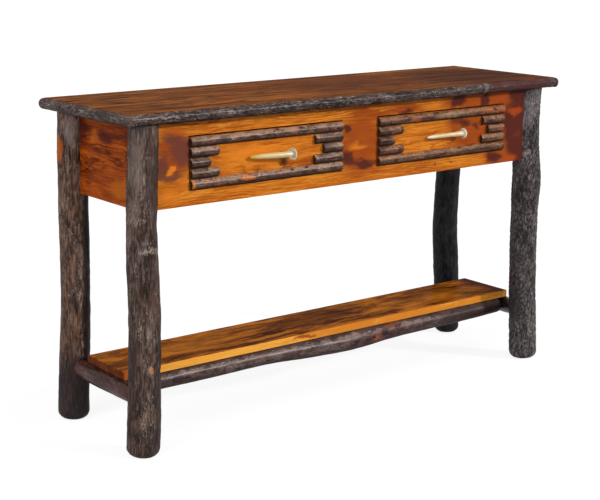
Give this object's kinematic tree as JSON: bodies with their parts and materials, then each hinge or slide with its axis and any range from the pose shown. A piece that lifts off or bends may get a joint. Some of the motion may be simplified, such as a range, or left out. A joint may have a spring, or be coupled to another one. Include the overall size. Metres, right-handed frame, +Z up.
{
  "type": "rustic hickory console table",
  "caption": "Long rustic console table: crooked barked hickory legs, stained board top with half-round twig edging, drawers with antler pulls, and a low shelf carried on poles.",
  "frame": {"origin": "on the floor, under the middle of the table's overall length and depth", "axes": "+X to the viewer's right along the table's length, +Y to the back, +Z up; the drawers open towards -Y"},
  "size_m": [1.303, 0.398, 0.762],
  "materials": {
    "bark_hickory": "hickory bark left on, furrowed, under a clear varnish",
    "pole_hickory": "small hickory poles, bark partly worn through, varnished",
    "twig_hickory": "split twigs with the bark on, varnished",
    "stained_top": "dark orange-brown stain, glossy varnish",
    "stained_board": "orange stain over fine straight grain, glossy varnish",
    "plain_wood": "planed and sealed, inside and out of sight",
    "antler": "polished antler, ivory with a grey pitted crown; stands in for antler",
    "dark_steel": "blue-black",
    "zinc_screw": "zinc-plated"
  },
  "bodies": {
    "table": {"apron_left": "stained_board", "apron_rear": "stained_board", "apron_right": "stained_board", "drawer_stops": "plain_wood", "edge_strip_front": "bark_hickory", "edge_strip_left": "bark_hickory", "edge_strip_rear": "bark_hickory", "edge_strip_right": "bark_hickory", "face_rail_bottom": "stained_board", "face_rail_top": "stained_board", "face_stile_centre": "stained_board", "face_stile_left": "stained_board", "face_stile_right": "stained_board", "kicker_left": "plain_wood", "kicker_right": "plain_wood", "leg_front_left": "bark_hickory", "leg_front_right": "bark_hickory", "leg_rear_left": "bark_hickory", "leg_rear_right": "bark_hickory", "runner_left_inner": "plain_wood", "runner_left_outer": "plain_wood", "runner_right_inner": "plain_wood", "runner_right_outer": "plain_wood", "shelf": "stained_top", "shelf_pole_front": "pole_hickory", "shelf_pole_rear": "pole_hickory", "shelf_screws": "zinc_screw", "stretcher_left": "pole_hickory", "stretcher_right": "pole_hickory", "tabletop": "stained_top", "top_cleat_left": "plain_wood", "top_cleat_right": "plain_wood", "top_screws": "zinc_screw"},
    "drawer_left": {"drawer_left_back": "plain_wood", "drawer_left_bottom": "plain_wood", "drawer_left_front": "stained_board", "drawer_left_side_left": "plain_wood", "drawer_left_side_right": "plain_wood", "drawer_left_twig_bottom": "twig_hickory", "drawer_left_twig_top": "twig_hickory", "drawer_left_twigs_left": "twig_hickory", "drawer_left_twigs_right": "twig_hickory", "pull_left": "antler", "pull_left_post": "dark_steel", "pull_left_screw": "zinc_screw"},
    "drawer_right": {"drawer_right_back": "plain_wood", "drawer_right_bottom": "plain_wood", "drawer_right_front": "stained_board", "drawer_right_side_left": "plain_wood", "drawer_right_side_right": "plain_wood", "drawer_right_twig_bottom": "twig_hickory", "drawer_right_twig_top": "twig_hickory", "drawer_right_twigs_left": "twig_hickory", "drawer_right_twigs_right": "twig_hickory", "pull_right": "antler", "pull_right_post": "dark_steel", "pull_right_screw": "zinc_screw"}
  },
  "joints": [
    {"name": "drawer_left_slide", "type": "slide", "parent": "table", "child": "drawer_left", "axis": [0, -1, 0], "range_m": [0, 0.2]},
    {"name": "drawer_right_slide", "type": "slide", "parent": "table", "child": "drawer_right", "axis": [0, -1, 0], "range_m": [0, 0.2]}
  ]
}
